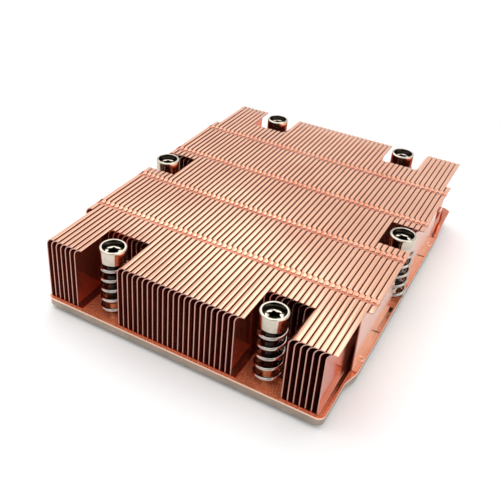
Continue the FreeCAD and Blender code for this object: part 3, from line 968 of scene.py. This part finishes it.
class NodeGarden:
    """Builds the Geometry Nodes trees."""

    def __init__(self, name: str) -> None:
        """Starts a tree with a geometry output and the node that gives its inputs.

        Args:
            name: Name of the tree.
        """
        self.tree = bpy.data.node_groups.new(name, "GeometryNodeTree")
        self.tree.interface.new_socket(
            "Geometry", in_out="OUTPUT", socket_type="NodeSocketGeometry"
        )
        self.entry = self.tree.nodes.new("NodeGroupInput")

    def declare(self, kind: str, *names: str) -> None:
        """Declares inputs of the tree.

        Args:
            kind: Socket type after the word NodeSocket.
            names: Names of the inputs.
        """
        for name in names:
            self.tree.interface.new_socket(name, in_out="INPUT", socket_type="NodeSocket" + kind)

    def given(self, name: str) -> Socket:
        """The socket of an input.

        Args:
            name: Name of the input.

        Returns:
            The socket that gives its value.
        """
        return self.entry.outputs[name]

    def add(
        self, kind: str, inputs: dict[str | int, object] | None = None, **values: object
    ) -> bpy.types.Node:
        """Adds a node and joins or sets its inputs.

        Args:
            kind: Blender's identifier of the node type.
            inputs: Socket name or number, and the socket or value that goes in.
            values: Properties of the node.

        Returns:
            The node.
        """
        node = self.tree.nodes.new(kind)
        for name, value in values.items():
            setattr(node, name, value)
        for name, value in (inputs or {}).items():
            if isinstance(value, bpy.types.NodeSocket):
                self.tree.links.new(value, node.inputs[name])
            else:
                node.inputs[name].default_value = value
        return node

    def calc(self, kind: str, first: object, second: object = 0.0) -> Socket:
        """One step of arithmetic.

        Args:
            kind: Blender's name of the operation.
            first: Socket or number.
            second: Socket or number.

        Returns:
            The result.
        """
        return self.add("ShaderNodeMath", {0: first, 1: second}, operation=kind).outputs[0]

    def finish(self, geometry: Socket) -> Tree:
        """Realizes the instances, sets the material and closes the tree.

        Args:
            geometry: What the tree made.

        Returns:
            The tree.
        """
        real = self.add("GeometryNodeRealizeInstances", {"Geometry": geometry})
        dressed = self.add("GeometryNodeSetMaterial",
                           {"Geometry": real.outputs[0], "Material": self.given("Finish")})
        out = self.tree.nodes.new("NodeGroupOutput")
        self.tree.links.new(dressed.outputs[0], out.inputs[0])
        return self.tree


def coil_tree() -> Tree:
    """Builds the tree that coils a spring: open turns between two closed end turns.

    A closed end turn rises by a little over the wire's thickness, which is two of its radii.

    Returns:
        The tree, with its sizes as named inputs.
    """
    end_turn_rise = 2.1
    garden = NodeGarden("coil spring")
    garden.declare("Float", "Turns", "Wire", "Radius", "Height", "Foot X", "Foot Y", "Foot Z")
    garden.declare("Int", "Steps", "Wire Steps")
    garden.declare("Material", "Finish")
    turns, steps, full = garden.given("Turns"), garden.given("Steps"), garden.given("Height")
    line = garden.add("GeometryNodeMeshLine", {"Count": garden.calc("ADD", steps, 1.0)})
    index = garden.add("GeometryNodeInputIndex").outputs[0]
    turn = garden.calc("DIVIDE", garden.calc("MULTIPLY", index, turns), steps)
    angle = garden.calc("MULTIPLY", turn, 2 * math.pi)
    half = garden.calc("MULTIPLY", turns, 0.5)
    from_half = garden.calc("ABSOLUTE", garden.calc("SUBTRACT", turn, half))
    from_end = garden.calc("SUBTRACT", half, from_half)
    closed_rise = garden.calc("MULTIPLY", garden.given("Wire"), end_turn_rise)
    open_turns = garden.calc("SUBTRACT", turns, 1.0)
    open_rise = garden.calc("DIVIDE", garden.calc("SUBTRACT", full, closed_rise), open_turns)
    inner = garden.calc("MINIMUM", from_end, 1.0)
    outer = garden.calc("SUBTRACT", from_end, inner)
    steeper = garden.calc("MULTIPLY", garden.calc("SUBTRACT", open_rise, closed_rise), 0.5)
    bend = garden.calc("MULTIPLY", garden.calc("MULTIPLY", inner, inner), steeper)
    first_turn = garden.calc("ADD", garden.calc("MULTIPLY", inner, closed_rise), bend)
    climbed = garden.calc("ADD", first_turn, garden.calc("MULTIPLY", outer, open_rise))
    upper = garden.calc("GREATER_THAN", turn, half)
    mirrored = garden.calc("SUBTRACT", full, climbed)
    height = garden.add("GeometryNodeSwitch", {"Switch": upper, "False": climbed, "True": mirrored},
                        input_type="FLOAT").outputs[0]
    across = garden.calc("MULTIPLY", garden.calc("COSINE", angle), garden.given("Radius"))
    along = garden.calc("MULTIPLY", garden.calc("SINE", angle), garden.given("Radius"))
    point = garden.add("ShaderNodeCombineXYZ", {
        "X": garden.calc("ADD", across, garden.given("Foot X")),
        "Y": garden.calc("ADD", along, garden.given("Foot Y")),
        "Z": garden.calc("ADD", height, garden.given("Foot Z")),
    }).outputs[0]
    placed = garden.add("GeometryNodeSetPosition", {"Geometry": line.outputs[0], "Position": point})
    curve = garden.add("GeometryNodeMeshToCurve", {"Mesh": placed.outputs[0]})
    section = garden.add("GeometryNodeCurvePrimitiveCircle",
                         {"Resolution": garden.given("Wire Steps"), "Radius": garden.given("Wire")})
    wire = garden.add("GeometryNodeCurveToMesh", {
        "Curve": curve.outputs[0], "Profile Curve": section.outputs[0], "Fill Caps": True,
    })
    return garden.finish(wire.outputs[0])


def stamp_tree(name: str, ring: bool) -> Tree:
    """Builds the tree that stamps a row of lock marks into the last fin's foot.

    Args:
        name: Name of the tree.
        ring: Whether the mark is a ring, or else a slit.

    Returns:
        The tree, with its sizes as named inputs.
    """
    ring_steps, line_steps, ring_squeeze = 28, 8, 0.72
    garden = NodeGarden(name)
    garden.declare("Int", "Count")
    garden.declare("Vector", "Start", "Step")
    garden.declare("Float", "Length", "Line")
    garden.declare("Material", "Finish")
    length, thickness = garden.given("Length"), garden.given("Line")
    row = garden.add("GeometryNodeMeshLine", {
        "Count": garden.given("Count"), "Start Location": garden.given("Start"),
        "Offset": garden.given("Step"),
    })
    if ring:
        loop = garden.add("GeometryNodeCurvePrimitiveCircle", {
            "Resolution": ring_steps, "Radius": garden.calc("MULTIPLY", length, 0.5),
        })
        section = garden.add("GeometryNodeCurvePrimitiveCircle",
                             {"Resolution": line_steps, "Radius": thickness})
        mark = garden.add("GeometryNodeCurveToMesh", {
            "Curve": loop.outputs[0], "Profile Curve": section.outputs[0],
        })
    else:
        sides = garden.add("ShaderNodeCombineXYZ", {"X": length, "Y": thickness, "Z": thickness})
        mark = garden.add("GeometryNodeMeshCube", {"Size": sides.outputs[0]})
    placed = garden.add("GeometryNodeInstanceOnPoints", {
        "Points": row.outputs[0], "Instance": mark.outputs[0],
        "Scale": (ring_squeeze if ring else 1.0, 1.0, 1.0),
    })
    return garden.finish(placed.outputs[0])


@dataclass
class LowerLocks:
    """The ring and slit marks on the foot of the last fin, beside the chamber's right edge."""

    ring_finish: bpy.types.Material
    slit_finish: bpy.types.Material
    across: float = 45.25 * MILLIMETRE
    foot_top: float = 4.6 * MILLIMETRE
    ring_ends: tuple[float, float] = (-33.0 * MILLIMETRE, 33.9 * MILLIMETRE)
    ring_length: float = 2.0 * MILLIMETRE
    ring_line: float = 0.17 * MILLIMETRE
    slit_ends: tuple[float, float] = (-19.9 * MILLIMETRE, 25.5 * MILLIMETRE)
    slit_length: float = 1.3 * MILLIMETRE
    slit_line: float = 0.2 * MILLIMETRE

    def build(self) -> None:
        """Builds the marks of each kind."""
        # The rings take the lid edge's pale finish, whose colour is a painted highlight.
        self._row("foot_ring_marks", True, self.ring_ends, self.ring_length, self.ring_line,
                  self.ring_finish)
        # The slits are small near-black boxes on the foot: painted shade for dark slits.
        self._row("foot_slit_marks", False, self.slit_ends, self.slit_length, self.slit_line,
                  self.slit_finish)

    def _row(
        self, name: str, ring: bool, ends: tuple[float, float], length: float, line: float,
        finish: bpy.types.Material,
    ) -> None:
        """Builds a row of two marks.

        Args:
            name: Name of the piece.
            ring: Whether the marks are rings, or else slits.
            ends: Places of the two marks along the fins.
            length: Length of a mark.
            line: Thickness of its line.
            finish: Its material.
        """
        mesh = grown(name, stamp_tree(name, ring), {
            "Count": len(ends), "Start": (self.across, ends[0], self.foot_top),
            "Step": (0.0, ends[1] - ends[0], 0.0), "Length": length, "Line": line,
            "Finish": finish,
        })
        piece = keep(mesh, name, finish)
        for polygon in piece.data.polygons:
            polygon.use_smooth = ring
        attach(piece, "chamber")
        log.info("lock marks %s", piece.name)


@dataclass(frozen=True)
class Viewpoint:
    """The camera, found from the fins, notches and screws in the photograph."""

    place: tuple[float, float, float] = (0.077550, -0.180364, 0.139371)
    ahead: tuple[float, float, float] = (-0.41093, 0.74724, -0.52227)
    up: tuple[float, float, float] = (-0.29657, 0.43215, 0.85164)
    focal_pixels: float = 703.65
    centre_x: float = 214.0
    centre_y: float = 208.0
    sensor: float = 36.0
    nearest: float = 0.005
    farthest: float = 20.0

    def build(self) -> None:
        """Makes the camera and gives it to the scene."""
        data = bpy.data.cameras.new("camera")
        data.sensor_width = self.sensor
        data.sensor_fit = "HORIZONTAL"
        data.lens = self.focal_pixels * self.sensor / IMAGE_WIDTH
        half = IMAGE_WIDTH / 2
        data.shift_x = (half - self.centre_x) / IMAGE_WIDTH
        data.shift_y = (self.centre_y - half) / IMAGE_WIDTH
        data.clip_start = self.nearest
        data.clip_end = self.farthest
        camera = bpy.data.objects.new("camera", data)
        back = -Vector(self.ahead).normalized()
        right = Vector(self.up).cross(back).normalized()
        upright = back.cross(right)
        turn = Matrix((right, upright, back)).transposed().to_4x4()
        camera.matrix_world = Matrix.Translation(Vector(self.place)) @ turn
        bpy.context.scene.collection.objects.link(camera)
        bpy.context.scene.camera = camera


@dataclass(frozen=True)
class Lamp:
    """A soft area lamp that faces the heatsink."""

    name: str
    place: tuple[float, float, float]
    width: float
    power: float

    def build(self) -> None:
        """Makes the lamp, turned to the origin."""
        data = bpy.data.lights.new(self.name, "AREA")
        data.shape = "SQUARE"
        data.size = self.width
        data.energy = self.power
        lamp = bpy.data.objects.new(self.name, data)
        lamp.location = self.place
        lamp.rotation_euler = (-Vector(self.place)).to_track_quat("-Z", "Y").to_euler()
        bpy.context.scene.collection.objects.link(lamp)


@dataclass
class Studio:
    """White floor, soft lamps and a white surround.

    Only reflections see a darker card, which lies along flag_way. It has flag_level's brightness
    where the cosine of the angle from its middle is over flag_core, and ends at flag_rim. The
    floor turns plain white to the camera between two distances from the origin.
    """

    floor_size: float = 6.0
    floor_tint: float = 0.97
    floor_roughness: float = 0.7
    floor_gloss: float = 0.1
    speckle_scale: float = 900.0
    speckle_octaves: float = 2.0
    fade_start: float = 0.085
    fade_end: float = 0.16
    surround: float = 0.74
    flag_way: tuple[float, float, float] = (0.42, -0.62, 0.66)
    flag_level: float = 0.45
    flag_core: float = 0.96
    flag_rim: float = 0.84
    lamps: tuple[Lamp, ...] = (
        Lamp("key lamp", (-0.25, 0.15, 0.75), 1.1, 4.6),
        Lamp("side lamp", (0.7, -0.2, 0.5), 0.8, 1.7),
    )

    def build(self) -> None:
        """Makes floor, lamps and world, and sets the plain view transform."""
        self._floor()
        for lamp in self.lamps:
            lamp.build()
        self._world()
        bpy.context.scene.view_settings.view_transform = "Standard"

    def _floor(self) -> None:
        """Makes the floor, which shows white apart from the part's shadow."""
        half = self.floor_size / 2
        mesh = bpy.data.meshes.new("floor")
        corners = [(-half, -half, 0.0), (half, -half, 0.0), (half, half, 0.0), (-half, half, 0.0)]
        mesh.from_pydata(corners, [], [(0, 1, 2, 3)])
        material = bpy.data.materials.new("white floor")
        material.use_nodes = True
        wiring = Wiring(material.node_tree)
        shader = material.node_tree.nodes["Principled BSDF"]
        place = wiring.add("ShaderNodeTexCoord").outputs["Object"]
        speckle = wiring.noise(place, self.speckle_scale, self.speckle_octaves)
        colour = wiring.blend(speckle, (self.floor_tint,) * 3, (1.0, 1.0, 1.0))
        wiring.join(colour, shader.inputs["Base Color"])
        shader.inputs["Roughness"].default_value = self.floor_roughness
        shader.inputs["Specular IOR Level"].default_value = self.floor_gloss
        self._fade(wiring, place, shader)
        floor = bpy.data.objects.new("floor", mesh)
        mesh.materials.append(material)
        bpy.context.scene.collection.objects.link(floor)

    def _fade(self, wiring: Wiring, place: Socket, shader: bpy.types.Node) -> None:
        """Lets the floor run out into plain white away from the part's shadow.

        Args:
            wiring: The floor's nodes.
            place: Object coordinates.
            shader: The floor's own shader.
        """
        away = wiring.add("ShaderNodeVectorMath", operation="LENGTH")
        wiring.join(place, away.inputs[0])
        share = wiring.span(away.outputs["Value"], 0.0, 1.0, self.fade_start, self.fade_end)
        path = wiring.add("ShaderNodeLightPath")
        seen = wiring.add("ShaderNodeMath", operation="MULTIPLY")
        wiring.join(share, seen.inputs[0])
        wiring.join(path.outputs["Is Camera Ray"], seen.inputs[1])
        glow = wiring.add("ShaderNodeEmission")
        mix = wiring.add("ShaderNodeMixShader")
        wiring.join(seen.outputs[0], mix.inputs[0])
        wiring.join(shader.outputs[0], mix.inputs[1])
        wiring.join(glow.outputs[0], mix.inputs[2])
        out = next(node for node in wiring.tree.nodes if node.type == "OUTPUT_MATERIAL")
        wiring.join(mix.outputs[0], out.inputs["Surface"])

    def _world(self) -> None:
        """Makes the surround: white to the camera, dimmer as a lamp, with a card in reflections."""
        world = bpy.data.worlds.new("surround")
        world.use_nodes = True
        bpy.context.scene.world = world
        wiring = Wiring(world.node_tree)
        background = world.node_tree.nodes["Background"]
        path = wiring.add("ShaderNodeLightPath")
        way = wiring.add("ShaderNodeTexCoord").outputs["Generated"]
        towards = wiring.add("ShaderNodeVectorMath", operation="DOT_PRODUCT")
        wiring.join(way, towards.inputs[0])
        towards.inputs[1].default_value = Vector(self.flag_way).normalized()
        card = wiring.span(
            towards.outputs["Value"], 1.0, self.flag_level, self.flag_rim, self.flag_core
        )
        seen = wiring.span(path.outputs["Is Camera Ray"], self.surround, 1.0)
        mirror = wiring.add("ShaderNodeMix", data_type="FLOAT")
        wiring.join(path.outputs["Is Glossy Ray"], mirror.inputs["Factor"])
        wiring.join(seen, mirror.inputs["A"])
        wiring.join(card, mirror.inputs["B"])
        wiring.join(mirror.outputs["Result"], background.inputs["Strength"])
        background.inputs["Color"].default_value = (1.0, 1.0, 1.0, 1.0)


def main() -> None:
    """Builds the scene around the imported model."""
    logging.basicConfig(level=logging.INFO, format="%(name)s: %(message)s")
    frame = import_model()
    Viewpoint().build()
    Studio().build()
    finishes = Finishes()
    Chamber(finishes.lid, finishes.tray, finishes.tube, finishes.rim).build()
    LowerLocks(finishes.rim, finishes.oiled).build()
    FinStack(finishes.fin, finishes.web, finishes.pressed, finishes.cheek,
             finishes.sheared, finishes.shadowed).build(list(frame["nodes"]))
    coil = coil_tree()
    for corner in Corner:
        CaptiveScrew(corner, finishes.screw, finishes.recess, finishes.oiled).build()
        CoilSpring(corner, finishes.spring).build(coil)
        recoat(frame["nodes"]["clip_" + corner.value], finishes.clip)
    recoat(frame["nodes"]["support_posts"], finishes.lid)


if __name__ == "__main__":
    main()
